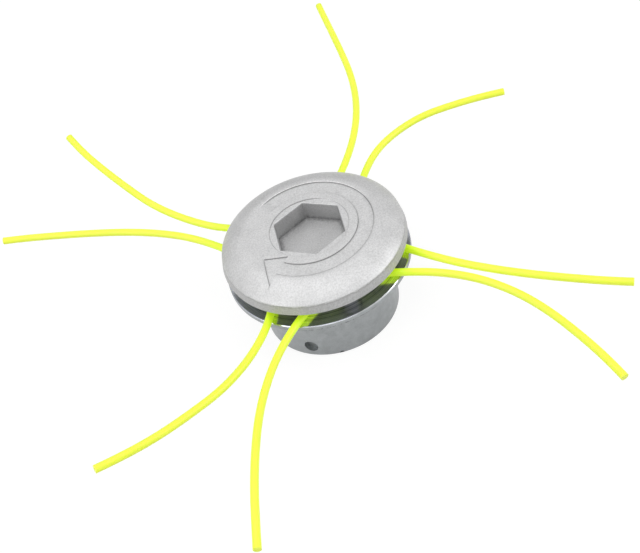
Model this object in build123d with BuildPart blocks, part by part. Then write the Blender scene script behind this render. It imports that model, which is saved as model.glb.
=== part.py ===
"""Fixed line trimmer head: a cap casting with four line pillars, screwed to a hub casting.

Millimetres. Z = 0 is the plane that the hub's lower rim stands on, the spin axis is Z,
and +Z points out of the cap, which is the side that faces the ground in use.
"""
from build123d import *
from math import cos, hypot, pi, radians, sin, tan
import os

# Cap casting. Its face is flat out to the crown's radius, a share of the radius at which the dome
# meets the rim's side. That side leans out by the draft towards its lower edge.
cap_rim_radius = 36.8
cap_rim_draft = 0.9
cap_crown_share = 0.72
cap_blend_radius = 7.7
cap_slope_start = 15.0
cap_edge_drop = 4.9
cap_rim_height = 4.1
core_radius = 18.5
core_root_fillet = 1.0

# Hexagon recess in the cap, with a shallow round step about it
hex_across_flats = 25.4
hex_depth = 8.5
step_radius = 15.6
step_depth = 0.4

# Rotation arrow, sunk into the cap's face. Its band keeps clear of the round step on the inside and
# of the crown's edge on the outside, and the barbs of its head reach past both sides of the band.
arrow_step_gap = 3.5
arrow_crown_gap = 0.75
arrow_depth = 0.5
arrow_tail_angle = 133.0
arrow_head_angle = -131.0
arrow_head_sweep = 22.3
arrow_inner_barb = 3.0
arrow_outer_barb = 5.3

# Gap that the lines lie in, and the pillars that they bend round. A line passes between each pillar
# and the core, with some room beside it.
line_gap = 6.7
line_side_room = 1.5
pillar_radius = 3.0
pillar_start_angle = 15.0
pillar_root_fillet = 0.8
pillar_count = 4

# Hub casting: a flange with a turned face over a hollow round hub
hub_height = 28.8
hub_radius = 27.4
hub_wall = 3.2
hub_floor = 5.8
hub_rim_chamfer = 0.5
hub_floor_fillet = 1.5
flange_overhang = 0.0
flange_thickness = 2.0
flange_edge_chamfer = 0.4
flange_root_fillet = 1.2
boss_wall = 2.5
boss_length = 12.5
boss_root_fillet = 0.6

# Blind hole in the hub's wall for the pin that stops the head from turning
lock_hole_radius = 2.8
lock_hole_depth = 2.2
lock_hole_height = 5.6
lock_hole_angle = -118.0

# Steel bush with the spindle thread, held down by its hexagon collar
bush_radius = 7.0
bush_collar_across_flats = 17.0
bush_collar_thickness = 3.0
bush_chamfer = 0.6
bush_clearance = 0.03
thread_radius = 4.32

# Screws that clamp the two castings together, each with a spring washer
screw_count = 4
screw_radius = 2.45
screw_circle_radius = 14.5
screw_start_angle = 60.0
screw_thread_depth = 5.0
screw_hole_spare = 0.5
screw_thread_clearance = 0.05
screw_hole_clearance = 0.3
screw_head_radius = 4.25
screw_head_height = 5.0
screw_head_chamfer = 0.4
screw_socket_across_flats = 4.0
screw_socket_depth = 2.5
washer_outer_radius = 4.3
washer_thickness = 1.2
washer_clearance = 0.15
washer_slit = 0.6

# Nylon line, and the route of each of the four pieces from one cut end to the other.
# The middle point of each route is where the line bends round its pillar.
line_diameter = 3.0
line_routes = {
    "line_back": [
        (-89.0, 90.0, 53.5), (-85.5, 83.0, 50.5), (-78.5, 72.5, 46.0), (-70.0, 61.0, 41.5),
        (-61.5, 50.0, 37.5), (-51.5, 40.5, 34.5), (-40.0, 32.0, 32.0), (-31.0, 27.4, 30.9),
        (-20.5, 22.2, 30.7), (-9.9, 19.5, 30.7), (-2.0, 20.6, 30.7), (6.8, 25.3, 30.7),
        (14.2, 33.4, 30.7), (21.5, 44.5, 31.2), (28.0, 57.0, 32.0), (33.0, 70.5, 33.0),
        (36.0, 85.0, 34.0), (37.0, 99.5, 35.5), (36.5, 113.5, 37.0), (35.5, 128.5, 39.0),
        (34.5, 142.0, 40.5), (34.0, 150.0, 41.5),
    ],
    "line_right": [
        (96.5, 63.0, 28.5), (88.5, 63.5, 29.0), (74.5, 63.5, 29.5), (59.5, 62.0, 30.5),
        (46.0, 56.0, 31.0), (35.0, 47.0, 31.5), (27.0, 34.5, 31.0), (21.6, 21.5, 30.7),
        (19.2, 9.4, 30.7), (21.3, 1.6, 30.7), (27.6, -6.8, 30.7), (37.5, -16.8, 30.8),
        (48.5, -27.1, 31.1), (60.0, -37.0, 31.5), (71.5, -45.0, 31.5), (84.0, -52.5, 31.5),
        (96.5, -59.0, 31.5), (103.5, -62.0, 31.5),
    ],
    "line_front": [
        (-45.0, -117.5, 25.5), (-44.0, -109.5, 26.0), (-42.0, -96.0, 27.5), (-39.5, -81.5, 28.5),
        (-35.0, -67.5, 29.5), (-29.0, -54.0, 30.5), (-21.5, -41.7, 30.7), (-11.5, -30.2, 30.7),
        (-0.6, -21.4, 30.7), (7.4, -19.6, 30.7), (16.5, -20.3, 30.7), (28.5, -23.8, 30.7),
        (42.0, -29.6, 30.6), (54.5, -37.5, 30.0), (65.5, -47.5, 29.0), (73.5, -59.5, 27.5),
        (80.0, -73.0, 26.0), (84.5, -85.5, 24.5), (87.0, -93.5, 23.5),
    ],
    "line_left": [
        (-90.0, -83.0, 45.5), (-82.5, -79.5, 43.5), (-69.5, -74.0, 41.0), (-57.0, -66.0, 38.0),
        (-45.0, -57.5, 35.5), (-34.5, -46.5, 33.5), (-26.5, -33.2, 31.2), (-21.2, -20.4, 30.7),
        (-19.2, -9.4, 30.7), (-21.3, -1.6, 30.7), (-27.8, 8.6, 30.7), (-38.5, 20.3, 31.2),
        (-49.5, 30.0, 31.5), (-62.5, 38.0, 32.0), (-76.0, 44.5, 32.5), (-90.0, 49.5, 33.0),
        (-105.0, 54.0, 33.5), (-119.0, 57.0, 34.0), (-127.0, 58.5, 34.5),
    ],
}
# An arc of a line's route takes up this share of its shorter neighbouring run
line_arc_share = 0.45

# Radii and heights that follow from the sizes above
cap_edge_radius = cap_rim_radius - cap_rim_draft
cap_crown_radius = cap_crown_share * cap_edge_radius
arrow_inner_radius = step_radius + arrow_step_gap
arrow_outer_radius = cap_crown_radius - arrow_crown_gap
flange_radius = cap_rim_radius + flange_overhang
pillar_circle_radius = core_radius + line_diameter + line_side_room + pillar_radius
cap_underside = hub_height + line_gap
cap_edge_height = cap_underside + cap_rim_height
cap_height = cap_edge_height + cap_edge_drop
hub_floor_height = hub_height - hub_floor
screw_head_top = hub_floor_height - washer_thickness

# Tools that cut a face start this far outside it
overcut = 1.0


def cap_face_line(sink):
    """The cap's upper outline from the axis to the rim, lowered by sink: flat, blend, then a shallow dome."""
    crown = Line((0, cap_height - sink), (cap_crown_radius, cap_height - sink))
    blend = JernArc(crown @ 1, (1, 0), cap_blend_radius, -cap_slope_start)
    dome = TangentArc(blend @ 1, (cap_edge_radius, cap_edge_height - sink), tangent=blend % 1)
    return dome


def arrow_outline():
    """The arrow seen from above: a round band from tail to head, and a head whose tip lies on the band's middle."""
    sweep_angle = arrow_tail_angle - arrow_head_angle
    middle_radius = (arrow_inner_radius + arrow_outer_radius) / 2

    def at(radius, angle):
        return (radius * cos(radians(angle)), radius * sin(radians(angle)))

    outer = CenterArc((0, 0), arrow_outer_radius, arrow_head_angle, sweep_angle)
    inner = CenterArc((0, 0), arrow_inner_radius, arrow_head_angle, sweep_angle)
    Line(outer @ 1, inner @ 1)
    Polyline(
        outer @ 0,
        at(arrow_outer_radius + arrow_outer_barb, arrow_head_angle),
        at(middle_radius, arrow_head_angle - arrow_head_sweep),
        at(arrow_inner_radius - arrow_inner_barb, arrow_head_angle),
        inner @ 0,
    )


def circle_edges(part, radius, height):
    """The round edges of a part that have this radius and lie at this height."""
    return part.edges().filter_by(GeomType.CIRCLE).filter_by(
        lambda edge: abs(edge.radius - radius) < 0.01 and abs(edge.center().Z - height) < 0.01
    )


# The arrow's cutter: a skin that follows the cap's face, cut to the arrow's outline
with BuildPart() as arrow_cutter:
    with BuildSketch(Plane.XZ):
        with BuildLine():
            sunk_face = cap_face_line(arrow_depth)
            Polyline(
                sunk_face @ 1,
                (cap_edge_radius, cap_height + overcut),
                (0, cap_height + overcut),
                (0, cap_height - arrow_depth),
            )
        make_face()
    revolve(axis=Axis.Z)
    with BuildSketch(Plane.XY.offset(cap_edge_height - overcut)):
        with BuildLine():
            arrow_outline()
        make_face()
    extrude(amount=cap_edge_drop + 3 * overcut, mode=Mode.INTERSECT)

# Cap casting: disc, core and pillars in one piece
with BuildPart() as cap_casting:
    with BuildSketch(Plane.XZ):
        with BuildLine():
            face = cap_face_line(0)
            Polyline(
                face @ 1,
                (cap_rim_radius, cap_underside),
                (core_radius, cap_underside),
                (core_radius, hub_height),
                (0, hub_height),
                (0, cap_height),
            )
        make_face()
    revolve(axis=Axis.Z)
    fillet(circle_edges(cap_casting, core_radius, cap_underside), core_root_fillet)
    with BuildSketch(Plane.XY.offset(hub_height)):
        with PolarLocations(pillar_circle_radius, pillar_count, start_angle=pillar_start_angle):
            Circle(pillar_radius)
    extrude(amount=line_gap)
    fillet(circle_edges(cap_casting, pillar_radius, cap_underside), pillar_root_fillet)
    with BuildSketch(Plane.XY.offset(cap_height)):
        Circle(step_radius)
    extrude(amount=-step_depth, mode=Mode.SUBTRACT)
    with BuildSketch(Plane.XY.offset(cap_height)):
        RegularPolygon(hex_across_flats / 2, 6, major_radius=False, rotation=30)
    extrude(amount=-hex_depth, mode=Mode.SUBTRACT)
    with BuildSketch(Plane.XY.offset(hub_height)):
        with PolarLocations(screw_circle_radius, screw_count, start_angle=screw_start_angle):
            Circle(screw_radius + screw_thread_clearance)
    extrude(amount=screw_thread_depth + screw_hole_spare, mode=Mode.SUBTRACT)
    add(arrow_cutter.part, mode=Mode.SUBTRACT)

# Hub casting: flange, hollow hub and the boss that holds the bush
boss_radius = bush_radius + boss_wall
with BuildPart() as hub_casting:
    with BuildSketch(Plane.XZ):
        with BuildLine():
            Polyline(
                (0, hub_height),
                (flange_radius, hub_height),
                (flange_radius, hub_height - flange_thickness),
                (hub_radius, hub_height - flange_thickness),
                (hub_radius, 0),
                (hub_radius - hub_wall, 0),
                (hub_radius - hub_wall, hub_floor_height),
                (boss_radius, hub_floor_height),
                (boss_radius, hub_floor_height - boss_length),
                (0, hub_floor_height - boss_length),
                (0, hub_height),
            )
        make_face()
    revolve(axis=Axis.Z)
    fillet(circle_edges(hub_casting, hub_radius, hub_height - flange_thickness), flange_root_fillet)
    fillet(circle_edges(hub_casting, hub_radius - hub_wall, hub_floor_height), hub_floor_fillet)
    fillet(circle_edges(hub_casting, boss_radius, hub_floor_height), boss_root_fillet)
    chamfer(circle_edges(hub_casting, flange_radius, hub_height), flange_edge_chamfer)
    chamfer(circle_edges(hub_casting, hub_radius, 0), hub_rim_chamfer)
    with BuildSketch(Plane.XY.offset(hub_floor_height - boss_length)):
        Circle(bush_radius + bush_clearance)
    extrude(amount=boss_length + hub_floor, mode=Mode.SUBTRACT)
    with BuildSketch(Plane.XY.offset(hub_height)):
        RegularPolygon(bush_collar_across_flats / 2 + bush_clearance, 6, major_radius=False)
    extrude(amount=-bush_collar_thickness, mode=Mode.SUBTRACT)
    with BuildSketch(Plane.XY.offset(hub_floor_height)):
        with PolarLocations(screw_circle_radius, screw_count, start_angle=screw_start_angle):
            Circle(screw_radius + screw_hole_clearance)
    extrude(amount=hub_floor, mode=Mode.SUBTRACT)
    lock_direction = Vector(cos(radians(lock_hole_angle)), sin(radians(lock_hole_angle)), 0)
    lock_start = lock_direction * (hub_radius - lock_hole_depth) + Vector(0, 0, lock_hole_height)
    with BuildSketch(Plane(origin=lock_start, z_dir=lock_direction)):
        Circle(lock_hole_radius)
    extrude(amount=lock_hole_depth + overcut, mode=Mode.SUBTRACT)

# Threaded steel bush
bush_bottom = hub_floor_height - boss_length
with BuildPart() as thread_bush:
    with BuildSketch(Plane.XY.offset(hub_height)):
        RegularPolygon(bush_collar_across_flats / 2, 6, major_radius=False)
    extrude(amount=-bush_collar_thickness)
    with BuildSketch(Plane.XY.offset(bush_bottom)):
        Circle(bush_radius)
    extrude(amount=hub_height - bush_bottom)
    with BuildSketch(Plane.XY.offset(bush_bottom)):
        Circle(thread_radius)
    extrude(amount=hub_height - bush_bottom, mode=Mode.SUBTRACT)
    chamfer(circle_edges(thread_bush, thread_radius, bush_bottom), bush_chamfer)
    chamfer(circle_edges(thread_bush, bush_radius, bush_bottom), bush_chamfer)

finished = {"cap_casting": cap_casting, "hub_casting": hub_casting, "thread_bush": thread_bush}

# Clamp screws and their spring washers, one of each at every screw place
screw_places = PolarLocations(screw_circle_radius, screw_count, start_angle=screw_start_angle).locations
for number, place in enumerate(screw_places, start=1):
    spot = place.position
    with BuildPart() as clamp_screw:
        with BuildSketch(Plane(origin=spot + Vector(0, 0, screw_head_top))):
            Circle(screw_head_radius)
        extrude(amount=-screw_head_height)
        head_bottom = screw_head_top - screw_head_height
        chamfer(circle_edges(clamp_screw, screw_head_radius, head_bottom), screw_head_chamfer)
        with BuildSketch(Plane(origin=spot + Vector(0, 0, head_bottom))):
            RegularPolygon(screw_socket_across_flats / 2, 6, major_radius=False)
        extrude(amount=screw_socket_depth, mode=Mode.SUBTRACT)
        with BuildSketch(Plane(origin=spot + Vector(0, 0, screw_head_top))):
            Circle(screw_radius)
        extrude(amount=washer_thickness + hub_floor + screw_thread_depth)
    finished[f"clamp_screw_{number}"] = clamp_screw
    with BuildPart() as spring_washer:
        with BuildSketch(Plane(origin=spot + Vector(0, 0, screw_head_top), x_dir=spot.normalized())):
            Circle(washer_outer_radius)
            Circle(screw_radius + washer_clearance, mode=Mode.SUBTRACT)
            with Locations((washer_outer_radius / 2, 0)):
                Rectangle(washer_outer_radius, washer_slit, rotation=12, mode=Mode.SUBTRACT)
        extrude(amount=washer_thickness)
    finished[f"spring_washer_{number}"] = spring_washer


def arc_radii(points):
    """One radius for each corner of a route: the largest whose arc takes line_arc_share of the shorter run."""
    corners = [Vector(*point) for point in points]
    radii = []
    for before, corner, after in zip(corners, corners[1:], corners[2:]):
        run_in = corner - before
        run_out = after - corner
        half_turn = radians(run_in.get_angle(run_out)) / 2
        radii.append(line_arc_share * min(run_in.length, run_out.length) / tan(half_turn))
    return radii


# Trimmer lines: straight runs joined by tangent arcs
for name, route in line_routes.items():
    radii = arc_radii(route)
    with BuildPart() as line_tube:
        with BuildLine():
            path = FilletPolyline(*route, radius=radii)
        with BuildSketch(Plane(origin=path @ 0, z_dir=path % 0)):
            Circle(line_diameter / 2)
        sweep(path=path)
    section_volume = pi * (line_diameter / 2) ** 2 * path.length
    print(f"{name}: length {path.length:.1f}, radii {min(radii):.0f} to {max(radii):.0f},",
          f"volume over section times length {line_tube.part.volume / section_volume:.4f}")
    for end in (0, 1):
        tip = path @ end
        print(f"  cut end {end} stands {hypot(tip.X, tip.Y):.1f} from the axis at height {tip.Z:.1f}")
    finished[name] = line_tube

os.makedirs("parts", exist_ok=True)
for name, piece in finished.items():
    piece.part.label = name
    export_step(piece.part, f"parts/{name}.step")
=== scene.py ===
"""Fixed line trimmer head: the look of its castings, steel parts and nylon lines.

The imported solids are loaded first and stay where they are. Each operator adds one piece, or one
group of like pieces, in the same frame: metres, the origin at the centre of the hub's lower rim,
and +Z along the spin axis towards the cap.
"""

from functools import reduce
from math import cos, pi, radians, sin

import bpy
import numpy as np
from bpy.props import FloatProperty, FloatVectorProperty, IntProperty, PointerProperty
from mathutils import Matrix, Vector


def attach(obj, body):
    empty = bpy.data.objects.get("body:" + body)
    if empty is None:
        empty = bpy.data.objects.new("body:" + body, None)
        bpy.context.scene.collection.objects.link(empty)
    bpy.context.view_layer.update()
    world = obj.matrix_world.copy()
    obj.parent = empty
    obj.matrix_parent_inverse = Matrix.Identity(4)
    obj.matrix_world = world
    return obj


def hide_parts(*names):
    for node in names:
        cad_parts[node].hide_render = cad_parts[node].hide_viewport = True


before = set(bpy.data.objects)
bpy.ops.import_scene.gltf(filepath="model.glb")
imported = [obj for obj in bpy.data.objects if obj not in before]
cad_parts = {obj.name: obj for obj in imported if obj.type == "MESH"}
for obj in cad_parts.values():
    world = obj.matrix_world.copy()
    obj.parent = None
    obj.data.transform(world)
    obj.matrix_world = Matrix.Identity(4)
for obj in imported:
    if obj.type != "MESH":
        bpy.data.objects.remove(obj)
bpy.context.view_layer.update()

bl_info = {
    "name": "Fixed Line Trimmer Head",
    "version": (1, 0, 0),
    "blender": (4, 5, 0),
    "location": "View3D > Sidebar > Trimmer Head",
    "description": "Adds a fixed line trimmer head: castings, bush, screws, washers and nylon lines",
    "category": "Add Mesh",
}

MM = 0.001

# Heights above the hub's lower rim, as in the solids
FLANGE_BOTTOM = 26.8 * MM
HUB_TOP = 28.8 * MM
UNDERSIDE = 35.5 * MM
EDGE_HEIGHT = 39.6 * MM
CAP_TOP = 44.5 * MM

# Other sizes of the castings, as in the solids. The step is the low round one about the hexagon.
STEP_RADIUS = 15.6 * MM
STEP_DEPTH = 0.4 * MM
CORE_RADIUS = 18.5 * MM
PILLAR_RADIUS = 3.0 * MM
PILLAR_CIRCLE = 26.0 * MM
HUB_RADIUS = 27.4 * MM
FLANGE_RADIUS = 36.8 * MM

# Halves of the four nylon lines, in metres: the solid each stands for, the point where it leaves
# the gap, its length and its route. Each route starts where the line bends round its pillar,
# halfway along a run of the whole route, and ends at a cut end.
LINE_HALVES = {
    "line_back_a": ("line_back", (-0.0276, 0.0258, 0.0308), 0.116, [
        (-0.00595, 0.02005, 0.0307), (-0.0099, 0.0195, 0.0307), (-0.0205, 0.0222, 0.0307),
        (-0.031, 0.0274, 0.0309), (-0.04, 0.032, 0.032), (-0.0515, 0.0405, 0.0345),
        (-0.0615, 0.05, 0.0375), (-0.07, 0.061, 0.0415), (-0.0785, 0.0725, 0.046),
        (-0.0855, 0.083, 0.0505), (-0.089, 0.09, 0.0535),
    ]),
    "line_back_b": ("line_back", (0.0148, 0.0346, 0.0307), 0.147, [
        (-0.00595, 0.02005, 0.0307), (-0.002, 0.0206, 0.0307), (0.0068, 0.0253, 0.0307),
        (0.0142, 0.0334, 0.0307), (0.0215, 0.0445, 0.0312), (0.028, 0.057, 0.032),
        (0.033, 0.0705, 0.033), (0.036, 0.085, 0.034), (0.037, 0.0995, 0.0355),
        (0.0365, 0.1135, 0.037), (0.0355, 0.1285, 0.039), (0.0345, 0.142, 0.0405),
        (0.034, 0.15, 0.0415),
    ]),
    "line_right_a": ("line_right", (0.0245, 0.0285, 0.0309), 0.111, [
        (0.02025, 0.0055, 0.0307), (0.0192, 0.0094, 0.0307), (0.0216, 0.0215, 0.0307),
        (0.027, 0.0345, 0.031), (0.0354, 0.0466, 0.0315), (0.0463, 0.0553, 0.031),
        (0.0597, 0.0613, 0.0305), (0.0745, 0.0634, 0.0295), (0.0885, 0.0635, 0.029),
        (0.0965, 0.063, 0.0285),
    ]),
    "line_right_b": ("line_right", (0.0346, -0.0139, 0.0308), 0.109, [
        (0.02025, 0.0055, 0.0307), (0.0213, 0.0016, 0.0307), (0.0276, -0.0068, 0.0307),
        (0.0375, -0.0171, 0.0308), (0.0485, -0.0275, 0.0311), (0.06, -0.0366, 0.0315),
        (0.0716, -0.0443, 0.0315), (0.084, -0.0517, 0.0315), (0.0965, -0.0586, 0.0315),
        (0.1034, -0.0619, 0.0315),
    ]),
    "line_front_a": ("line_front", (-0.0147, -0.034, 0.0307), 0.113, [
        (0.0034, -0.0205, 0.0307), (-0.0006, -0.0214, 0.0307), (-0.0115, -0.0302, 0.0307),
        (-0.0215, -0.0417, 0.0307), (-0.029, -0.054, 0.0305), (-0.035, -0.0675, 0.0295),
        (-0.039, -0.0815, 0.0285), (-0.042, -0.096, 0.0275), (-0.044, -0.1095, 0.026),
        (-0.045, -0.1175, 0.0255),
    ]),
    "line_front_b": ("line_front", (0.0284, -0.0238, 0.0307), 0.121, [
        (0.0034, -0.0205, 0.0307), (0.0074, -0.0196, 0.0307), (0.0165, -0.0203, 0.0307),
        (0.0285, -0.0238, 0.0307), (0.042, -0.0296, 0.0306), (0.0545, -0.0377, 0.03),
        (0.0652, -0.0486, 0.029), (0.0731, -0.0603, 0.0275), (0.0796, -0.0737, 0.026),
        (0.0845, -0.0855, 0.0245), (0.087, -0.0935, 0.0235),
    ]),
    "line_left_a": ("line_left", (-0.0243, -0.028, 0.031), 0.113, [
        (-0.02025, -0.0055, 0.0307), (-0.0192, -0.0094, 0.0307), (-0.0212, -0.0204, 0.0307),
        (-0.0265, -0.0332, 0.0312), (-0.0345, -0.0465, 0.0335), (-0.045, -0.0575, 0.0355),
        (-0.057, -0.066, 0.038), (-0.0695, -0.0741, 0.041), (-0.0824, -0.0799, 0.0435),
        (-0.09, -0.083, 0.0455),
    ]),
    "line_left_b": ("line_left", (-0.0342, 0.0156, 0.031), 0.130, [
        (-0.02025, -0.0055, 0.0307), (-0.0213, -0.0016, 0.0307), (-0.0278, 0.0086, 0.0307),
        (-0.0385, 0.0203, 0.0312), (-0.0495, 0.03, 0.0315), (-0.0625, 0.0377, 0.032),
        (-0.076, 0.0436, 0.0325), (-0.09, 0.0485, 0.033), (-0.105, 0.0531, 0.0335),
        (-0.119, 0.057, 0.034), (-0.127, 0.0585, 0.0345),
    ]),
}

SCREW_ANGLES = (60.0, 150.0, 240.0, 330.0)
PILLAR_ANGLES = (15.0, 105.0, 195.0, 285.0)

# Soft lights: name, place and size in metres, and power as a share of the key light's
LIGHTS = (
    ("key_light", (-0.18, -0.1, 1.08), (1.8, 1.2), 1.0),
    ("right_light", (1.0, -0.3, 0.55), (0.6, 0.6), 0.63),
    ("left_light", (-0.9, -0.45, 0.5), (0.6, 0.6), 0.5),
)

# Two dark stretches of the room, one behind on the left and one at the front: direction in degrees,
# darkest level, and the cosines of the angle from that direction where each starts and is darkest
DARK_STRETCHES = ((140.0, 0.15, -0.3, 0.8), (275.0, 0.2, 0.2, 0.9))

WHITE = (1.0, 1.0, 1.0, 1.0)


def length_property(name, description, millimetres, lowest=0.0):
    """A length setting, given in millimetres and kept in metres."""
    return FloatProperty(
        name=name, description=description, default=millimetres * MM, min=lowest * MM, unit="LENGTH",
    )


def colour_property(description, colour):
    """A colour setting, as sRGB from 0 to 1."""
    return FloatVectorProperty(
        name="Colour", description=description, default=colour, min=0.0, max=1.0, size=3,
        subtype="COLOR_GAMMA",
    )


class CapSettings(bpy.types.PropertyGroup):
    """Sizes and colour of the cap casting."""

    rim_radius: length_property("Rim Radius", "Radius of the cap at its lower edge", 36.8)
    edge_radius: length_property("Edge Radius", "Radius at which the dome meets the rim's side", 35.9)
    crown_radius: length_property("Crown Radius", "Radius of the flat middle of the face", 25.85)
    hexagon_width: length_property("Hexagon Width", "Width of the hexagon recess across its flats", 25.4)
    hexagon_depth: length_property("Hexagon Depth", "Depth of the hexagon recess", 8.5)
    arrow_depth: length_property("Arrow Depth", "How deep the rotation arrow is sunk into the face", 0.5)
    colour: colour_property("Colour of the blasted aluminium, as sRGB", (0.828, 0.828, 0.83))


class HubSettings(bpy.types.PropertyGroup):
    """Finish of the hub casting."""

    colour: colour_property("Colour of the tumbled aluminium, as sRGB", (0.668, 0.682, 0.69))


class FastenerSettings(bpy.types.PropertyGroup):
    """Sizes of the bush, screws and washers in the hub's hollow."""

    thread_pitch: length_property("Thread Pitch", "Pitch of the left-hand thread", 1.25, lowest=0.1)
    screw_circle: length_property("Screw Circle", "Radius of the circle of clamp screws", 14.5)
    knurl_teeth: IntProperty(
        name="Knurl Teeth", description="Number of ridges round each screw head", default=40, min=3,
    )


class LineSettings(bpy.types.PropertyGroup):
    """Size and colour of the nylon lines."""

    diameter: length_property("Diameter", "Diameter of the nylon line", 3.0, lowest=0.3)
    colour: colour_property("Colour of the fluorescent nylon, as sRGB", (0.932, 1.0, 0.285))


class StageSettings(bpy.types.PropertyGroup):
    """Camera, floor and light."""

    camera_place: FloatVectorProperty(
        name="Camera Place", description="Where the camera stands",
        default=(5.84 * MM, -308.37 * MM, 329.62 * MM), size=3, subtype="TRANSLATION", unit="LENGTH",
    )
    camera_turn: FloatVectorProperty(
        name="Camera Turn", description="The camera's turn about X, Y and Z",
        default=(radians(43.1664), radians(12.5487), radians(-11.6220)), size=3,
        subtype="EULER", unit="ROTATION",
    )
    lens: FloatProperty(
        name="Lens", description="Focal length for a sensor 36 mm wide, in millimetres",
        default=61.875, min=1.0,
    )
    key_power: FloatProperty(
        name="Key Light", description="Power of the large soft light overhead",
        default=6.8, min=0.0, unit="POWER",
    )
    sky_strength: FloatProperty(
        name="Sky Strength", description="Strength of the even light from all round",
        default=0.46, min=0.0,
    )


class TrimmerHeadSettings(bpy.types.PropertyGroup):
    """All settings of the trimmer head."""

    cap: PointerProperty(type=CapSettings)
    hub: PointerProperty(type=HubSettings)
    fasteners: PointerProperty(type=FastenerSettings)
    lines: PointerProperty(type=LineSettings)
    stage: PointerProperty(type=StageSettings)


def polar(radius, degrees):
    """Plan point at a radius and an angle in degrees."""
    return radius * cos(radians(degrees)), radius * sin(radians(degrees))


def to_linear(colour):
    """An sRGB colour, as a hex code like "#c8c8ca" or three numbers from 0 to 1, in linear RGBA."""
    if isinstance(colour, str):
        colour = [int(colour[i : i + 2], 16) / 255 for i in (1, 3, 5)]
    channels = [c / 12.92 if c <= 0.04045 else ((c + 0.055) / 1.055) ** 2.4 for c in colour]
    return (*channels, 1.0)


def scaled(colour, factor):
    """A linear colour made brighter or darker."""
    return (*(min(1.0, c * factor) for c in colour[:3]), 1.0)


def add_node(tree, kind, inputs=None, **settings):
    """Adds a shader node. inputs sets or links its sockets, settings sets its properties."""
    node = tree.nodes.new("ShaderNode" + kind)
    for key, value in settings.items():
        setattr(node, key, value)
    for key, value in (inputs or {}).items():
        if isinstance(value, bpy.types.NodeSocket):
            tree.links.new(value, node.inputs[key])
        else:
            node.inputs[key].default_value = value
    return node


def empty_tree(owner):
    """The node tree of a material or world, with nothing in it."""
    owner.use_nodes = True
    owner.node_tree.nodes.clear()
    return owner.node_tree


def new_material(name):
    """A node material and the Object coordinates in it."""
    material = bpy.data.materials.new(name)
    return material, add_node(empty_tree(material), "TexCoord").outputs["Object"]


def finished(material, shader_inputs):
    """The material, with its surface shader, which has these inputs, and its output."""
    shader = add_node(material.node_tree, "BsdfPrincipled", shader_inputs)
    add_node(material.node_tree, "OutputMaterial", {"Surface": shader.outputs[0]})
    return material


def add_step(kind, *values, **settings):
    """Adds a node with these values as its first inputs, to the tree of the first linked one."""
    tree = next(value for value in values if isinstance(value, bpy.types.NodeSocket)).id_data
    return add_node(tree, kind, dict(enumerate(values)), **settings).outputs


def math_node(operation, *values):
    """The result of a sum on numbers or sockets."""
    return add_step("Math", *values, operation=operation)[0]


def times(*values):
    """The product of numbers or sockets."""
    return reduce(lambda first, second: math_node("MULTIPLY", first, second), values)


def plus(*values):
    """The total of numbers or sockets."""
    return reduce(lambda first, second: math_node("ADD", first, second), values)


def minus(first, second):
    """The first number or socket less the second."""
    return math_node("SUBTRACT", first, second)


def vector_math(operation, *values):
    """The result of a sum on vectors, a number unless it is a product of two vectors."""
    results = add_step("VectorMath", *values, operation=operation)
    return results["Vector" if operation == "MULTIPLY" else "Value"]


def axes(place):
    """The X, Y and Z of a vector."""
    return add_step("SeparateXYZ", place)


def grain(place, size, detail=3.0, roughness=0.5):
    """Noise whose blobs are about size metres across, as a number round one half."""
    inputs = {"Vector": place, "Scale": 1.0 / size, "Detail": detail, "Roughness": roughness}
    return add_node(place.id_data, "TexNoise", inputs).outputs[0]


def spread(value, low, high, low_from=0.3, high_from=0.7):
    """Maps a number from the range low_from to high_from on to the range low to high."""
    return add_step("MapRange", value, low_from, high_from, low, high)[0]


def bumps(height, distance, strength):
    """The normal of a surface whose bumps follow this height, the highest this many metres high."""
    inputs = {"Height": height, "Distance": distance, "Strength": strength}
    return add_node(height.id_data, "Bump", inputs).outputs[0]


def shades(share, first, second, blend_type="MIX"):
    """Mixes two linear colours, of which the second has this share, a number from 0 to 1."""
    inputs = {0: share, 6: first, 7: second}
    settings = {"data_type": "RGBA", "blend_type": blend_type, "clamp_factor": True}
    return add_node(share.id_data, "Mix", inputs, **settings).outputs[2]


def tinted(colour, *marks):
    """Multiplies a colour where masks are 1. Each mark is a mask and a factor, or three for RGB."""
    for mask, factor in marks:
        colour = shades(mask, colour, (*np.broadcast_to(factor, 3), 1.0), "MULTIPLY")
    return colour


def plan_radius(place):
    """Distance from the spin axis."""
    return vector_math("LENGTH", vector_math("MULTIPLY", place, (1.0, 1.0, 0.0)))


def distance_across_flats(place):
    """How far out a point lies across the flats: the largest distance along their three normals."""
    level = 0.0
    for turn in (0.0, 60.0, 120.0):
        along = vector_math("DOT_PRODUCT", place, (*polar(1.0, turn), 0.0))
        level = math_node("MAXIMUM", level, math_node("ABSOLUTE", along))
    return level


def seen_directly(tree):
    """1 for rays from the camera, or by way of metal or glass, and 0 for rays that light things."""
    path = add_node(tree, "LightPath").outputs
    by_way_of = math_node("MAXIMUM", path["Is Glossy Ray"], path["Is Transmission Ray"])
    return math_node("MAXIMUM", path["Is Camera Ray"], by_way_of)


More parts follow.
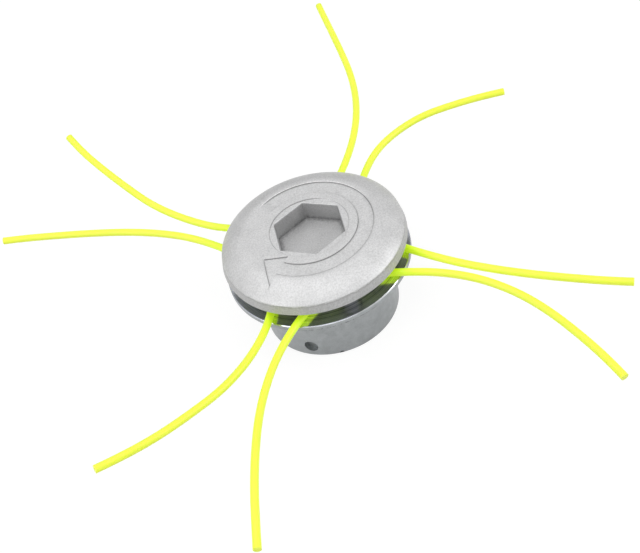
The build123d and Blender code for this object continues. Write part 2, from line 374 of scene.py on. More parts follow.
def cap_painted_shade_and_highlight(place, colour, cap):
    """Paints shade in the hexagon recess, below the rim and in sharp corners, and highlight on lips."""
    height = axes(place)["Z"]
    across = distance_across_flats(place)
    flat = cap.hexagon_width / 2
    inside = spread(across, 1.0, 0.0, flat + 0.05 * MM, flat + 0.3 * MM)
    deep = spread(height, 1.0, 0.0, CAP_TOP - 1.2 * MM, CAP_TOP - 0.6 * MM)
    recess = times(inside, deep)
    below_rim = spread(height, 1.0, 0.0, UNDERSIDE, UNDERSIDE + 0.2 * MM)
    wall = spread(across, 0.0, 1.0, flat - 0.2 * MM, flat - 0.05 * MM)
    # Distance from the recess's foot, along the floor plus up the wall, made ragged by noise, for a band
    # of painted shade at the foot
    along_floor = minus(flat, across)
    up_wall = minus(height, CAP_TOP - cap.hexagon_depth)
    ragged = spread(grain(place, 1.2 * MM), -0.5 * MM, 0.5 * MM)
    foot = spread(plus(along_floor, up_wall, ragged), 1.0, 0.0, 0.2 * MM, 1.6 * MM)
    # The attribute is 1 for painted shade in sharp corners, and -1 for a painted highlight on lips
    painted_shading = add_node(place.id_data, "Attribute", attribute_name="painted_shading").outputs["Fac"]
    # Painted shade on the recess, its walls and foot, below the rim and in corners, and painted
    # highlight on lips
    return tinted(
        colour, (recess, 0.85), (below_rim, 0.6), (times(wall, recess), 0.68),
        (times(foot, recess), 0.62), (painted_shading, 0.42), (times(painted_shading, -1.0), 1.4),
    )


def rim_shade_and_streaks(place, colour, cap):
    """Paints shade on the rim's side all round, deepest along its ragged upper edge, with streaks of
    uneven tone.
    """
    height = axes(place)["Z"]
    side = spread(plan_radius(place), 0.0, 1.0,
                  cap.edge_radius - 0.2 * MM, cap.edge_radius - 0.05 * MM)
    wander = spread(grain(place, 3.0 * MM), -0.35 * MM, 0.35 * MM)
    below_edge = minus(EDGE_HEIGHT - 0.3 * MM, plus(height, wander))
    shaded_side = times(side, spread(below_edge, 0.0, 1.0, 0.0, 0.15 * MM))
    under_edge_shade = times(shaded_side, spread(below_edge, 1.0, 0.0, 0.4 * MM, 0.7 * MM))
    # The streaks run along the rim: noise that changes slowly sideways
    stretched = vector_math("MULTIPLY", place, (0.15, 0.15, 1.0))
    streaks = times(shaded_side, spread(grain(stretched, 0.7 * MM), 0.0, 1.0))
    # Painted shade over the rim's side and along its upper edge, with streaks
    return tinted(colour, (shaded_side, 0.88), (under_edge_shade, 0.85), (streaks, 0.9))


def die_cast_aluminium_blasted(cap):
    """Aluminium, pressure die-cast and blasted with fine beads: pale, matt and finely speckled."""
    material, place = new_material("die_cast_aluminium_blasted")
    base = to_linear(cap.colour)
    # Bead marks are about 0.1 mm across, and are drawn at 0.6 mm so that they show
    beads = grain(place, 0.6 * MM, detail=2.0, roughness=0.6)
    # The melt's flow leaves pale and dark clouds a few millimetres across
    clouds = grain(place, 6.0 * MM)
    mixed = plus(spread(beads, 0.0, 0.75), spread(clouds, 0.0, 0.25))
    speckled = shades(mixed, scaled(base, 0.8), scaled(base, 1.17))
    return finished(material, {
        "Base Color": rim_shade_and_streaks(place, cap_painted_shade_and_highlight(place, speckled, cap), cap),
        # The blasted skin scatters most of the light, so it is set to be partly metallic only
        "Metallic": 0.35,
        "Roughness": spread(beads, 0.42, 0.52),
        "Normal": bumps(beads, 0.05 * MM, 0.8),
    })


def hub_painted_shade(place, colour):
    """Paints shadow below the flange's edge, shade in a nick in the hub's rim, and shade low on the
    hub's wall.
    """
    parts = axes(place)
    # Painted shadow, ragged, along the flange's lower edge on the side of the pin hole
    from_edge = math_node("ABSOLUTE", minus(parts["Z"], FLANGE_BOTTOM + 0.15 * MM))
    flange_edge_shadow = times(
        spread(from_edge, 1.0, 0.0, 0.1 * MM, 0.4 * MM),
        spread(parts["Y"], 1.0, 0.0, -36.5 * MM, -32.0 * MM),
        spread(grain(place, 0.9 * MM, detail=2.0), 0.0, 1.0, 0.42, 0.58),
    )
    # Painted shade of one nick in the hub's lower rim, 94 degrees clockwise from +X
    from_nick = vector_math("DISTANCE", place, (*polar(HUB_RADIUS, -94.0), 0.5 * MM))
    nick = spread(from_nick, 1.0, 0.0, 0.6 * MM, 1.1 * MM)
    # Painted shade: the hub's wall is a little darker towards its rim
    low_shade = spread(parts["Z"], 1.0, 0.0, 0.0, 14.0 * MM)
    return tinted(colour, (flange_edge_shadow, 0.45), (nick, 0.1), (low_shade, 0.83))


def turned_areas(place, radius):
    """1 on the turned face round the bush's seat and on the upper part of its chamfer, else 0.

    The chamfer's turned shine is left off a stretch at the front, as painted shade where no glint falls.
    """
    from_glintless = vector_math("DISTANCE", place, (*polar(FLANGE_RADIUS - 0.2 * MM, -66.0), HUB_TOP))
    # Painted shade: no turned shine on this stretch of the chamfer
    glintless = times(
        spread(from_glintless, 1.0, 0.0, 6.0 * MM, 11.0 * MM),
        spread(radius, 0.0, 1.0, FLANGE_RADIUS - 0.5 * MM, FLANGE_RADIUS - 0.4 * MM),
    )
    return times(
        spread(axes(place)["Z"], 0.0, 1.0, HUB_TOP - 0.26 * MM, HUB_TOP - 0.2 * MM),
        spread(radius, 0.0, 1.0, 10.5 * MM, 10.6 * MM),
        minus(1.0, glintless),
    )


def die_cast_aluminium_tumbled(colour):
    """Aluminium, die-cast and tumbled with stones, its flange face and chamfer turned bright."""
    material, place = new_material("die_cast_aluminium_tumbled")
    base = to_linear(colour)
    # Stone marks are about 0.2 mm across, and are drawn at 0.6 mm so that they show
    pits = grain(place, 0.6 * MM, roughness=0.6)
    # The melt's flow leaves pale and dark clouds a few millimetres across
    clouds = grain(place, 3.5 * MM)
    mixed = plus(spread(pits, 0.0, 0.45), spread(clouds, 0.0, 0.55))
    tumbled = hub_painted_shade(place, shades(mixed, scaled(base, 0.82), scaled(base, 1.16)))

    radius = plan_radius(place)
    turned = turned_areas(place, radius)
    unturned = minus(1.0, turned)
    # Tool grooves are about 0.1 mm apart, and are drawn as rings of uneven brightness about 0.6 mm
    # wide so that they show: noise that changes with the radius only
    inputs = {"W": radius, "Scale": 1.0 / (0.6 * MM), "Detail": 2.0}
    noise = add_node(place.id_data, "TexNoise", inputs, noise_dimensions="1D")
    rings = noise.outputs[0]
    ring_share = spread(rings, 0.0, 1.0, 0.35, 0.65)
    face = shades(ring_share, to_linear("#b4b7c0"), to_linear("#eceff6"))
    relief = plus(times(rings, turned, 0.15), times(pits, unturned))
    rough = times(spread(pits, 0.34, 0.46), unturned)
    return finished(material, {
        "Base Color": shades(turned, tumbled, face),
        # The tumbled skin scatters part of the light, and the turned face's grooves a little of it
        "Metallic": spread(turned, 0.55, 0.95, 0.0, 1.0),
        "Roughness": plus(rough, times(turned, 0.2)),
        "Normal": bumps(relief, 0.03 * MM, 0.7),
    })


def clouded_steel(name, size, dark, light, roughness):
    """Steel whose colour and roughness both drift in clouds about size metres across."""
    material, place = new_material(name)
    clouds = grain(place, size)
    return finished(material, {
        "Base Color": shades(spread(clouds, 0.0, 1.0), to_linear(dark), to_linear(light)),
        "Metallic": 1.0,
        "Roughness": spread(clouds, *roughness),
    })


def zinc_plated_steel():
    """Steel, turned and zinc plated with a clear passivate: bright grey with a faint blue cast."""
    return clouded_steel("steel_zinc_plated", 1.5 * MM, "#b9bdc4", "#d3d5d8", (0.26, 0.4))


def spring_steel():
    """Spring steel, rolled from wire and oiled: darker grey, with a soft shine."""
    return clouded_steel("spring_steel_oiled", 1.0 * MM, "#84868b", "#a2a4a8", (0.3, 0.42))


def fluorescent_nylon(colour):
    """Nylon with a fluorescent dye, extruded as monofilament, so clear that light spreads inside."""
    material, place = new_material("nylon_monofilament_extruded")
    base = to_linear(colour)
    # The die leaves slow changes along the line, a few centimetres long
    clouds = grain(place, 20.0 * MM, detail=1.0)
    tint = shades(spread(clouds, 0.0, 1.0), scaled(base, 0.95), base)
    # Painted shade: between the castings, which shade the line, it is darker and greener
    shaded = spread(plan_radius(place), 1.0, 0.0, 36.0 * MM, 50.0 * MM)
    tint = tinted(tint, (shaded, (0.8, 1.0, 0.38)))
    # The dye turns ultraviolet light into yellow light. A small painted glow stands for it, fills in
    # the line's shade, stronger between the castings, and lights the castings less than it shows.
    seen = seen_directly(material.node_tree)
    glow = times(spread(seen, 0.06, 1.0, 0.0, 1.0), spread(shaded, 0.28, 0.42, 0.0, 1.0))
    return finished(material, {
        "Base Color": tint,
        "Roughness": 0.4,
        "IOR": 1.53,
        "Subsurface Weight": 0.6,
        "Subsurface Radius": (1.0, 1.0, 0.3),
        "Subsurface Scale": 2.0 * MM,
        "Emission Color": tint,
        "Emission Strength": glow,
    })


def ring_faces(count, around, first_pole=False, last_pole=False, closed=False):
    """Faces between rings of points that are numbered ring by ring.

    Each four-sided face joins two neighbouring points of one ring to the same two of the next.
    A pole is one more point after all the rings, joined to an end ring by triangles. The faces
    point to the left of the profile as it runs from the first ring to the last, so a profile
    that starts at the top and runs outwards makes a surface that faces outwards.
    """
    ring = np.arange(count if closed else count - 1)[:, None]
    here = np.arange(around)[None, :]
    onward = (here + 1) % around
    below = (ring + 1) % count
    near, far = ring * around, below * around
    corners = np.broadcast_arrays(near + here, far + here, far + onward, near + onward)
    faces = np.stack(corners, axis=-1).reshape(-1, 4).tolist()
    pole = count * around
    if first_pole:
        fan = np.stack([np.full(around, pole), here[0], onward[0]], axis=-1)
        faces += fan.tolist()
        pole += 1
    if last_pole:
        start = (count - 1) * around
        fan = np.stack([np.full(around, pole), start + onward[0], start + here[0]], axis=-1)
        faces += fan.tolist()
    return faces


def add_object(name, data):
    """An object that shows this data in the scene."""
    added = bpy.data.objects.new(name, data)
    bpy.context.scene.collection.objects.link(added)
    return added


def mesh_piece(name, shells, material, smooth_angle=None, painted_shading=None):
    """A mesh object from shells of (points, faces), smooth except at edges sharper than smooth_angle.

    The shading argument holds a number from -1 to 1 for each of the first points. Above 0 it says
    how deep in a corner the point lies, and painted shade darkens the material there. Below 0 it
    gives a painted highlight on a lip, and the material is paler there.
    """
    points = np.concatenate([shell[0] for shell in shells])
    faces = []
    start = 0
    for shell_points, shell_faces in shells:
        faces += [[start + corner for corner in face] for face in shell_faces]
        start += len(shell_points)
    mesh = bpy.data.meshes.new(name)
    mesh.from_pydata(points.tolist(), [], faces)
    mesh.validate()
    mesh.shade_smooth()
    if painted_shading is not None:
        layer = mesh.attributes.new("painted_shading", "FLOAT", "POINT")
        layer.data.foreach_set("value", np.pad(painted_shading, (0, len(points) - len(painted_shading))))
    if smooth_angle is not None:
        mesh.set_sharp_from_angle(angle=smooth_angle)
    mesh.materials.append(material)
    return add_object(name, mesh)


def place_piece(piece, slot, *nodes):
    """Ties a piece to the body and hides the solids that it stands for."""
    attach(piece, "root")
    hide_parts(*nodes)


def rounded_outline(corners, support=0.15 * MM):
    """Points (r, z) of an outline from corners (r, z, radius), or (r, z) where they are not rounded.

    A corner's arc touches both of its straight runs. Where the runs turn by an angle a, the arc
    starts radius times tan(a / 2) before the corner. One point on each run just outside the arc
    keeps the shading of that run flat. The two ends are never rounded.
    """
    steps = 6
    outline = []
    for index, (r, z, *rounding) in enumerate(corners):
        corner = np.array((r, z))
        if not rounding:
            outline.append(corner[None])
            continue
        radius = rounding[0]
        before = np.array(corners[index - 1][:2]) - corner
        after = np.array(corners[index + 1][:2]) - corner
        before /= np.linalg.norm(before)
        after /= np.linalg.norm(after)
        half = np.arccos(np.clip(before @ after, -1.0, 1.0)) / 2
        reach = radius / np.tan(half)
        middle = before + after
        centre = corner + middle / np.linalg.norm(middle) * radius / np.sin(half)
        start = corner + before * reach - centre
        finish = corner + after * reach - centre
        turn = np.arctan2(start[0] * finish[1] - start[1] * finish[0], start @ finish)
        sweep = np.linspace(0.0, turn, steps)[:, None]
        side = np.array((-start[1], start[0]))
        arc = centre + np.cos(sweep) * start + np.sin(sweep) * side
        run_in = corner + before * (reach + support)
        run_out = corner + after * (reach + support)
        outline += [run_in[None], arc, run_out[None]]
    return np.concatenate(outline)


def per_ring(*values):
    """A number for each ring."""
    return np.array(values)[:, None]


def turn_angles(around):
    """Angles that share a full turn evenly."""
    return np.arange(around) * 2 * pi / around


def around_axis(radius, angles, height):
    """Points at these radii, angles and heights, once broadcast to one shape."""
    radius, angles, height = np.broadcast_arrays(radius, angles, height)
    return np.stack([radius * np.cos(angles), radius * np.sin(angles), height], axis=-1)


def turned_rings(outline, angles, reach=1.0):
    """Rings of points (r, z) carried round the axis, with r times reach, which may be a hexagon's."""
    return around_axis(outline[:, 0, None] * reach, angles, outline[:, 1, None])


def between(start, end, shares):
    """Rings that lie at these shares of the way from one radius to another, at each angle."""
    return start + (end - start) * per_ring(*shares)


def hexagon_reach(angles, sharpness=80.0):
    """Radius of a rounded hexagon with an inner radius of 1, at each angle.

    It is the sum over the six flats of the cosine of the angle from that flat, each to the power
    of sharpness, taken to the power of -1 / sharpness. The higher the power, the sharper the corners.
    """
    flats = np.arange(6) * pi / 3
    cosines = np.maximum(np.cos(angles[None, :] - flats[:, None]), 1e-9)
    return np.sum(cosines**sharpness, axis=0) ** (-1.0 / sharpness)


def stack_surface(rings, first_pole=None, last_pole=None, closed=False):
    """A shell of points and faces from rings of points, with an optional pole point at either end."""
    poles = [np.array(pole)[None] for pole in (first_pole, last_pole) if pole is not None]
    faces = ring_faces(*rings.shape[:2], first_pole is not None, last_pole is not None, closed)
    return np.concatenate([rings.reshape(-1, 3), *poles]), faces


def cap_height_at(radius, cap):
    """Height of the cap's face at a radius.

    It is flat out to the crown radius. Then comes a blend arc of 7.7 mm radius that bends down by
    15 degrees, and then one shallow arc that carries on tangentially and meets the rim's edge.
    """
    blend = 7.7 * MM
    slope = radians(15.0)
    drop_start = np.array((cap.crown_radius + blend * sin(slope), CAP_TOP - blend * (1 - cos(slope))))
    edge = np.array((cap.edge_radius, EDGE_HEIGHT))
    # The dome's arc leaves drop_start in the direction of the slope and passes through the edge
    inward = np.array((-sin(slope), -cos(slope)))
    chord = edge - drop_start
    dome = (chord @ chord) / (2 * (chord @ inward))
    centre = drop_start + inward * dome
    flat = np.full_like(radius, CAP_TOP)
    on_blend = CAP_TOP - blend + np.sqrt(np.maximum(blend**2 - (radius - cap.crown_radius) ** 2, 0.0))
    on_dome = centre[1] + np.sqrt(np.maximum(dome**2 - (radius - centre[0]) ** 2, 0.0))
    height = np.where(radius > cap.crown_radius, on_blend, flat)
    return np.where(radius > drop_start[0], on_dome, height)


def ray_to_line(angles, first, second):
    """Radius at which the ray at each angle meets the straight line through two plan points."""
    (x1, y1), (x2, y2) = first, second
    return (x1 * y2 - y1 * x2) / (np.cos(angles) * (y2 - y1) - np.sin(angles) * (x2 - x1))


def arrow_edges(angles):
    """Inner and outer radius of the arrow at each angle, and how deep it is there, from 0 to 1.

    The arrow's band runs clockwise from its tail at 133 degrees to the root of its head at -131,
    between radii of 19.1 and 25.1 mm. The head's two edges are straight in plan, from its barbs at
    16.1 and 30.4 mm to its tip. Between tip and tail the two radii run back to those of the band.
    """
    band_inner, band_outer, middle = 19.1 * MM, 25.1 * MM, 22.1 * MM
    barb_inner, barb_outer = 16.1 * MM, 30.4 * MM
    tail, root, tip = 133.0, -131.0, -153.3
    tail_length = 14.0
    degrees = np.degrees(angles)
    degrees = np.where(degrees > 180.0, degrees - 360.0, degrees)
    tip_point = polar(middle, tip)
    head_inner = ray_to_line(angles, polar(barb_inner, root), tip_point)
    head_outer = ray_to_line(angles, polar(barb_outer, root), tip_point)
    in_head = (degrees > tip) & (degrees < root)
    beyond = np.where(degrees < tip, degrees + 360.0, degrees)
    back = np.clip((tip + 360.0 - beyond) / (tip + 360.0 - tail), 0.0, 1.0)
    idle = (beyond > tail) & ~in_head
    inner = np.where(idle, middle + (band_inner - middle) * back, band_inner)
    outer = np.where(idle, middle + (band_outer - middle) * back, band_outer)
    inner = np.where(in_head, head_inner, inner)
    outer = np.where(in_head, head_outer, outer)
    gap = 0.25 * MM
    inner = np.minimum(inner, middle - gap)
    outer = np.maximum(outer, middle + gap)
    # The tail rises to the face over fourteen degrees, in a soft curve without a visible end
    rise = np.clip((tail - degrees) / tail_length, 0.0, 1.0)
    depth = rise**2 * (3.0 - 2.0 * rise) * (degrees > tip)
    return inner, outer, depth


def cap_shell(cap):
    """The cap's whole surface, and for each of its points the painted shade in corners and highlight on
    lips.

    The surface is a stack of closed rings from the centre of the recess's floor outwards, over the
    arrow and the dome, down the rim, in along the underside and down the core. The rings are
    hexagons in the recess, circles outside it, and bend with the arrow's two edges between them.
    """
    around = 720
    angles = turn_angles(around)
    stepped = CAP_TOP - STEP_DEPTH
    floor = CAP_TOP - cap.hexagon_depth
    flat = cap.hexagon_width / 2
    # The recess's walls lean out a little, as the core that cast them did to come free
    draft = 0.18 * MM
    lip_end = flat + 0.6 * MM
    hexagon = hexagon_reach(angles)
    radius, height, painted_shading = [], [], []

    def add_rings(radii, heights, corner=0.0):
        """Adds rings of points, with each point's painted shade in a corner, or painted highlight below
        0.
        """
        radii = np.broadcast_to(radii, (len(radii), around))
        radius.append(radii)
        height.append(np.broadcast_to(heights, radii.shape))
        painted_shading.append(np.broadcast_to(corner, radii.shape))

    # Hexagon recess: floor, foot fillet, wall and rounded lip, as (inner radius, height)
    recess = rounded_outline([
        (3.0 * MM, floor),
        (7.0 * MM, floor),
        (10.5 * MM, floor),
        (flat, floor, 0.12 * MM),
        (flat + draft / 2, (floor + stepped) / 2),
        (flat + draft, stepped, 0.22 * MM),
        (lip_end, stepped),
    ])
    add_rings(recess[:, 0, None] * hexagon, recess[:, 1, None])

    # Round step about the hexagon: the rings turn from hexagon to circle on its low side
    low_side = STEP_RADIUS - 0.3 * MM
    add_rings(between(lip_end * hexagon, low_side, (0.35, 0.7, 1.0)), stepped)
    rise = per_ring(-0.14, -0.06, 0.0, 0.06, 0.12, 0.2, 0.32) * MM
    share = per_ring(0.0, 0.12, 0.4, 0.8, 0.96, 1.0, 1.0)
    in_foot = per_ring(0.2, 0.8, 1.0, 1.0, 0.6, 0.1, 0.0)
    # Painted shade at the step's foot, darkest on the far side
    far_side_shade = 0.3 + 0.7 * np.clip(np.cos(angles - radians(112.0)) * 2.5 - 1.2, 0.0, 1.0)
    add_rings(STEP_RADIUS + rise, stepped + share * (CAP_TOP - stepped), in_foot * far_side_shade)

    # The arrow: its inner edge, its floor and its outer edge
    inner, outer, depth = arrow_edges(angles)
    sink = depth * cap.arrow_depth
    add_rings(between(STEP_RADIUS + 0.32 * MM, inner - 0.34 * MM, (0.33, 0.67, 1.0)), CAP_TOP)
    lean = per_ring(-0.2, -0.08, -0.03, 0.01, 0.05, 0.11, 0.2) * MM
    sunk = per_ring(0.0, 0.05, 0.18, 0.7, 0.95, 1.0, 1.0)
    in_corner = per_ring(0.0, 0.2, 0.8, 1.0, 1.0, 0.9, 0.2)
    edge = inner + lean
    # Painted shade at the foot of the arrow's inner edge
    add_rings(edge, cap_height_at(edge, cap) - sunk * sink, in_corner * depth)
    across = between(inner + 0.22 * MM, outer - 0.22 * MM, np.linspace(0.1, 0.9, 8))
    add_rings(across, cap_height_at(across, cap) - sink)
    # The outer edge's lip has painted shade on one side of the arrow and a painted highlight on the
    # other.
    # The highlight keeps its strength further into the tail than the shade does.
    highlight_side = np.clip(0.5 + 2.0 * np.sin(angles - radians(20.0)), 0.0, 1.0)
    lip_shade = per_ring(0.0, 0.5, 1.0, 1.0, 0.9, 0.8, 0.2)
    lip_highlight = per_ring(0.3, 0.9, 1.0, 1.0, 0.3, -0.9, 0.0)
    lip_shading = lip_shade + (lip_highlight - lip_shade) * highlight_side
    edge = outer - np.append(lean[:0:-1], -0.3 * MM)[:, None]
    add_rings(edge, cap_height_at(edge, cap) - sunk[::-1] * sink,
              np.where(lip_shading < 0.0, lip_shading * depth**0.3, lip_shading * depth))

    # The rest of the face, out to the start of the rim's soft edge
    face_end = cap.edge_radius - 0.35 * MM
    face = between(outer + 0.36 * MM, face_end, np.linspace(0.05, 1.0, 20))
    add_rings(face, cap_height_at(face, cap))

    # Rim, underside and core. Radii that are bare numbers are extra rings on flat faces.
    end_height = float(cap_height_at(np.array([face_end]), cap)[0])
    outline = rounded_outline([
        (face_end, end_height),
        (cap.edge_radius, EDGE_HEIGHT, 0.45 * MM),
        (cap.rim_radius, UNDERSIDE, 0.35 * MM),
        (32.0 * MM, UNDERSIDE),
        (26.0 * MM, UNDERSIDE),
        (22.0 * MM, UNDERSIDE),
        (CORE_RADIUS, UNDERSIDE, 1.0 * MM),
        (CORE_RADIUS, 32.0 * MM),
        (CORE_RADIUS, HUB_TOP, 0.2 * MM),
        (12.0 * MM, HUB_TOP),
        (4.0 * MM, HUB_TOP),
    ], support=0.1 * MM)[1:]
    rings = np.concatenate([
        around_axis(np.concatenate(radius), angles, np.concatenate(height)),
        turned_rings(outline, angles),
    ])
    shell = stack_surface(rings, first_pole=(0.0, 0.0, floor), last_pole=(0.0, 0.0, HUB_TOP))
    return shell, np.concatenate(painted_shading).ravel()


def pillar_shell(degrees):
    """A cast pillar: a round bar that flares into the cap's underside."""
    sunk_top = UNDERSIDE + 0.1 * MM
    outline = rounded_outline([
        (PILLAR_RADIUS + 1.6 * MM, sunk_top),
        (PILLAR_RADIUS + 1.5 * MM, UNDERSIDE),
        (PILLAR_RADIUS, UNDERSIDE, 0.8 * MM),
        (PILLAR_RADIUS, (UNDERSIDE + HUB_TOP) / 2),
        (PILLAR_RADIUS, HUB_TOP, 0.15 * MM),
        (1.0 * MM, HUB_TOP),
    ])
    x, y = polar(PILLAR_CIRCLE, degrees)
    rings = turned_rings(outline, turn_angles(48)) + np.array((x, y, 0.0))
    return stack_surface(rings, first_pole=(x, y, sunk_top), last_pole=(x, y, HUB_TOP))


def bush_shell(pitch):
    """The threaded bush: a hexagon collar, a round body and a left-hand thread cut into its bore.

    The bore's radius is its least one plus the thread's depth times a wave with flat crests. The
    wave's phase is the height over the pitch plus the angle over one turn, so the groove climbs
    clockwise.
    """
    angles = turn_angles(96)
    bottom, top, collar_foot = 10.5 * MM, HUB_TOP, 25.8 * MM
    collar_flat, body_radius, bore_radius = 8.5 * MM, 7.0 * MM, 4.32 * MM
    chamfer, thread_depth = 0.6 * MM, 0.65 * MM
    rows_per_turn = 12
    collar = turned_rings(np.array([
        (collar_flat - 0.2 * MM, top),
        (collar_flat, top - 0.2 * MM),
        (collar_flat, collar_foot),
    ]), angles, hexagon_reach(angles, sharpness=120.0))
    body = rounded_outline([
        (body_radius, collar_foot),
        (body_radius, 18.0 * MM),
        (body_radius, bottom + chamfer),
        (body_radius - chamfer, bottom, 0.1 * MM),
        (5.6 * MM, bottom, 0.1 * MM),
        (5.0 * MM, bottom + chamfer),
    ], support=0.05 * MM)
    rows = int((top - bottom - chamfer) / pitch * rows_per_turn)
    heights = np.linspace(bottom + 0.65 * MM, top, rows)[:, None]
    phase = (heights / pitch + angles / (2 * pi)) % 1.0
    wave = np.clip((0.5 - np.abs(phase - 0.5)) * 2.6 - 0.3, 0.0, 1.0)
    fade = np.clip((top - heights) / pitch, 0.0, 1.0)
    thread = around_axis(bore_radius + thread_depth * wave * fade, angles, heights)
    rings = np.concatenate([collar, turned_rings(body, angles), thread])
    return stack_surface(rings, closed=True)


def screw_shell(x, y, teeth):
    """A socket cap screw, head down: shank, knurled head and hexagon socket.

    The knurl takes 0.12 mm off the head's radius in a cosine wave, with one wave for each tooth.
    """
    angles = turn_angles(240)
    head, foot, tip = 21.8 * MM, 16.8 * MM, 33.8 * MM
    shank_radius, head_radius, socket_flat = 2.45 * MM, 4.25 * MM, 2.0 * MM
    socket_floor = foot + 2.5 * MM
    knurl_depth = 0.12 * MM
    shank = rounded_outline([
        (1.6 * MM, tip),
        (2.1 * MM, tip),
        (shank_radius, tip - 0.5 * MM),
        (shank_radius, head),
        (head_radius - 0.35 * MM, head),
        (head_radius, head - 0.1 * MM),
    ])
    rows = np.linspace(head - 0.4 * MM, foot + 0.7 * MM, 5)[:, None]
    share = per_ring(0.4, 1.0, 1.0, 1.0, 0.4)
    cut = share * knurl_depth / 2 * (1 - np.cos(angles * teeth))
    knurl = around_axis(head_radius - cut, angles, rows)
    end = rounded_outline([
        (head_radius, foot + 0.5 * MM),
        (head_radius - 0.3 * MM, foot, 0.2 * MM),
        (3.2 * MM, foot),
    ], support=0.05 * MM)
    socket = rounded_outline([
        (socket_flat + 0.35 * MM, foot),
        (socket_flat, foot + 0.25 * MM),
        (socket_flat, socket_floor, 0.1 * MM),
        (0.8 * MM, socket_floor),
    ], support=0.05 * MM)
    rings = np.concatenate([
        turned_rings(shank, angles),
        knurl,
        turned_rings(end, angles),
        turned_rings(socket, angles, hexagon_reach(angles, sharpness=200.0)),
    ])
    rings += np.array((x, y, 0.0))
    return stack_surface(rings, first_pole=(x, y, tip), last_pole=(x, y, socket_floor))


def washer_shell(x, y, degrees):
    """A split spring washer: a rounded oblong section carried round almost a full turn.

    The section is a superellipse. The slit slants by 7 degrees for each millimetre of height,
    because the angle at which the ring starts and ends grows with the height.
    """
    half_width, half_height = 0.85 * MM, 0.6 * MM
    middle_radius, middle_height = 3.45 * MM, 22.4 * MM
    slit_end, ring_turn = radians(6.0), radians(348.0)
    roundness = 0.35
    section = turn_angles(24)
    across = np.sign(np.cos(section)) * np.abs(np.cos(section)) ** roundness * half_width
    up = np.sign(np.sin(section)) * np.abs(np.sin(section)) ** roundness * half_height
    slant = up / MM * radians(7.0)
    angle = radians(degrees) + slit_end + slant + np.linspace(0.0, 1.0, 73)[:, None] * ring_turn
    points = around_axis(middle_radius + across, angle, middle_height + up) + np.array((x, y, 0.0))
    ends = points[[0, -1]].mean(axis=1)
    return stack_surface(points[::-1], first_pole=ends[1], last_pole=ends[0])


class TRIMMERHEAD_OT_add_cap(bpy.types.Operator):
    """Add the cap casting, with its hexagon recess, sunk arrow, core and pillars"""

    bl_idname = "trimmer_head.add_cap"
    bl_label = "Add Cap Casting"

    def execute(self, context):
        cap = context.scene.trimmer_head.cap
        shell, painted_shading = cap_shell(cap)
        shells = [shell] + [pillar_shell(degrees) for degrees in PILLAR_ANGLES]
        piece = mesh_piece("cap", shells, die_cast_aluminium_blasted(cap), painted_shading=painted_shading)
        place_piece(piece, "cap_aluminium", "cap_casting")
        return {"FINISHED"}


class TRIMMERHEAD_OT_dress_hub(bpy.types.Operator):
    """Give the hub casting its tumbled and turned finish"""

    bl_idname = "trimmer_head.dress_hub"
    bl_label = "Dress Hub Casting"

    def execute(self, context):
        hub = context.scene.trimmer_head.hub
        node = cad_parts["hub_casting"]
        node.material_slots[0].material = die_cast_aluminium_tumbled(hub.colour)
        return {"FINISHED"}


class TRIMMERHEAD_OT_add_bush(bpy.types.Operator):
    """Add the steel bush with its left-hand thread"""

    bl_idname = "trimmer_head.add_bush"
    bl_label = "Add Threaded Bush"

    def execute(self, context):
        fasteners = context.scene.trimmer_head.fasteners
        shell = bush_shell(fasteners.thread_pitch)
        piece = mesh_piece("bush", [shell], zinc_plated_steel(), radians(40.0))
        place_piece(piece, "zinc_steel", "thread_bush")
        return {"FINISHED"}


class TRIMMERHEAD_OT_add_screws(bpy.types.Operator):
    """Add the clamp screws and their spring washers"""

    bl_idname = "trimmer_head.add_screws"
    bl_label = "Add Screws and Washers"

    def execute(self, context):
        fasteners = context.scene.trimmer_head.fasteners
        plated = zinc_plated_steel()
        spring = spring_steel()
        for number, degrees in enumerate(SCREW_ANGLES, start=1):
            x, y = polar(fasteners.screw_circle, degrees)
            shell = screw_shell(x, y, fasteners.knurl_teeth)
            screw = mesh_piece(f"screw_{number}", [shell], plated, radians(40.0))
            place_piece(screw, "zinc_steel", f"clamp_screw_{number}")
            shell = washer_shell(x, y, degrees)
            washer = mesh_piece(f"washer_{number}", [shell], spring, radians(50.0))
            place_piece(washer, "spring_steel", f"spring_washer_{number}")
        return {"FINISHED"}


class TRIMMERHEAD_OT_add_lines(bpy.types.Operator):
    """Add the nylon lines, each as two halves that meet beside its pillar"""

    bl_idname = "trimmer_head.add_lines"
    bl_label = "Add Nylon Lines"

    def execute(self, context):
        lines = context.scene.trimmer_head.lines
        nylon = fluorescent_nylon(lines.colour)
        for name, (node, leaves_at, length, route) in LINE_HALVES.items():
            curve = bpy.data.curves.new(name, "CURVE")
            curve.dimensions = "3D"
            curve.bevel_depth = lines.diameter / 2
            curve.bevel_resolution = 8
            curve.use_fill_caps = True
            curve.resolution_u = 16
            spline = curve.splines.new("NURBS")
            spline.points.add(len(route) - 1)
            weighted = np.column_stack([route, np.ones(len(route))])
            spline.points.foreach_set("co", weighted.ravel())
            spline.order_u = 3
            spline.use_endpoint_u = True
            curve.materials.append(nylon)
            piece = add_object(name, curve)
            place_piece(piece, "nylon_line", node)
        return {"FINISHED"}


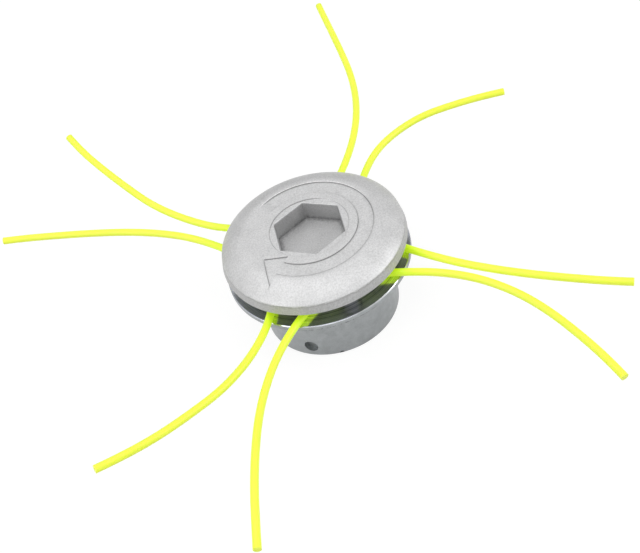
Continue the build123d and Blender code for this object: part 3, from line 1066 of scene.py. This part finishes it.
class TRIMMERHEAD_OT_add_stage(bpy.types.Operator):
    """Add the camera, the floor, the backdrop's white and the soft studio light"""

    bl_idname = "trimmer_head.add_stage"
    bl_label = "Add Stage"

    def execute(self, context):
        stage = context.scene.trimmer_head.stage
        scene = context.scene
        scene.view_settings.view_transform = "Standard"
        camera = add_object("camera", bpy.data.cameras.new("camera"))
        camera.data.lens = stage.lens
        camera.data.sensor_width = 36.0
        camera.data.clip_start = 0.01
        camera.location = stage.camera_place
        camera.rotation_euler = stage.camera_turn
        scene.camera = camera
        for name, place, size, share in LIGHTS:
            self.add_light(name, place, size, stage.key_power * share)
        self.add_world(scene, stage.sky_strength)
        self.add_floor()
        return {"FINISHED"}

    def add_light(self, name, place, size, power):
        """An oblong soft light of this size that looks at the head."""
        light = bpy.data.lights.new(name, "AREA")
        light.shape = "RECTANGLE"
        light.size, light.size_y = size
        light.energy = power
        lamp = add_object(name, light)
        lamp.location = place
        aim = (Vector((0.0, 0.0, 30.0 * MM)) - Vector(place)).to_track_quat("-Z", "Y")
        lamp.rotation_euler = aim.to_euler()

    def add_world(self, scene, strength):
        """White sky, darker low down and in two stretches of the room, and a white room.

        Metal shows the room's lower walls and its back wall grey. To the camera they are white
        paper, as the floor is.
        """
        world = bpy.data.worlds.new("studio")
        tree = empty_tree(world)
        direction = add_node(tree, "TexCoord").outputs["Generated"]
        parts = axes(direction)
        level = spread(parts["Z"], 0.8 * strength, 1.1 * strength, 0.0, 1.0)
        for degrees, darkest, starts_at, darkest_at in DARK_STRETCHES:
            towards = vector_math("DOT_PRODUCT", direction, (*polar(1.0, degrees), 0.0))
            level = times(level, spread(towards, 1.0, darkest, starts_at, darkest_at))
        lower_walls = spread(parts["Z"], 0.35, 1.0, 0.0, 0.35)
        back_wall = spread(parts["Y"], 1.0, 0.35, 0.75, 1.0)
        camera = add_node(tree, "LightPath").outputs["Is Camera Ray"]
        room = math_node("MAXIMUM", times(lower_walls, back_wall), camera)
        sky, white = (
            add_node(tree, "Background", {"Color": WHITE, "Strength": bright}).outputs[0]
            for bright in (level, room)
        )
        mix = add_node(tree, "MixShader", {0: seen_directly(tree), 1: sky, 2: white})
        add_node(tree, "OutputWorld", {"Surface": mix.outputs[0]})
        scene.world = world

    def add_floor(self):
        """A wide pale floor that the hub stands on, white to the camera apart from a faint shadow."""
        half, level = 3.0, -0.02 * MM
        corners = [(x * half, y * half, level) for x, y in ((-1, -1), (1, -1), (1, 1), (-1, 1))]
        mesh = bpy.data.meshes.new("floor")
        mesh.from_pydata(corners, [], [(0, 1, 2, 3)])
        material = bpy.data.materials.new("floor_white_paper")
        tree = empty_tree(material)
        paper, faint = (
            add_node(tree, "BsdfDiffuse", {"Color": (grey, grey, grey, 1.0)}).outputs[0]
            for grey in (0.42, 0.2)
        )
        glow = add_node(tree, "Emission", {"Color": WHITE, "Strength": 0.87}).outputs[0]
        lit = add_node(tree, "AddShader", {0: faint, 1: glow}).outputs[0]
        mix = add_node(tree, "MixShader", {0: seen_directly(tree), 1: paper, 2: lit})
        add_node(tree, "OutputMaterial", {"Surface": mix.outputs[0]})
        mesh.materials.append(material)
        floor = add_object("floor", mesh)


class TRIMMERHEAD_PT_panel(bpy.types.Panel):
    """Lists the trimmer head's pieces in the sidebar"""

    bl_label = "Trimmer Head"
    bl_idname = "TRIMMERHEAD_PT_panel"
    bl_space_type = "VIEW_3D"
    bl_region_type = "UI"
    bl_category = "Trimmer Head"

    def draw(self, context):
        settings = context.scene.trimmer_head
        column = self.layout.column()
        for operator in OPERATORS:
            column.operator(operator.bl_idname)
        for group in (settings.cap, settings.hub, settings.fasteners, settings.lines, settings.stage):
            box = column.box()
            for name in group.__annotations__:
                box.prop(group, name)


SETTINGS = (
    CapSettings, HubSettings, FastenerSettings, LineSettings, StageSettings, TrimmerHeadSettings,
)
OPERATORS = (
    TRIMMERHEAD_OT_add_stage,
    TRIMMERHEAD_OT_add_lines,
    TRIMMERHEAD_OT_add_cap,
    TRIMMERHEAD_OT_dress_hub,
    TRIMMERHEAD_OT_add_bush,
    TRIMMERHEAD_OT_add_screws,
)
CLASSES = (*SETTINGS, *OPERATORS, TRIMMERHEAD_PT_panel)


def register():
    for cls in CLASSES:
        bpy.utils.register_class(cls)
    bpy.types.Scene.trimmer_head = PointerProperty(type=TrimmerHeadSettings)


def unregister():
    del bpy.types.Scene.trimmer_head
    for cls in reversed(CLASSES):
        bpy.utils.unregister_class(cls)


def main():
    register()
    bpy.ops.trimmer_head.add_stage()
    bpy.ops.trimmer_head.add_lines()
    bpy.ops.trimmer_head.add_cap()
    bpy.ops.trimmer_head.dress_hub()
    bpy.ops.trimmer_head.add_bush()
    bpy.ops.trimmer_head.add_screws()


if __name__ == "__main__":
    main()
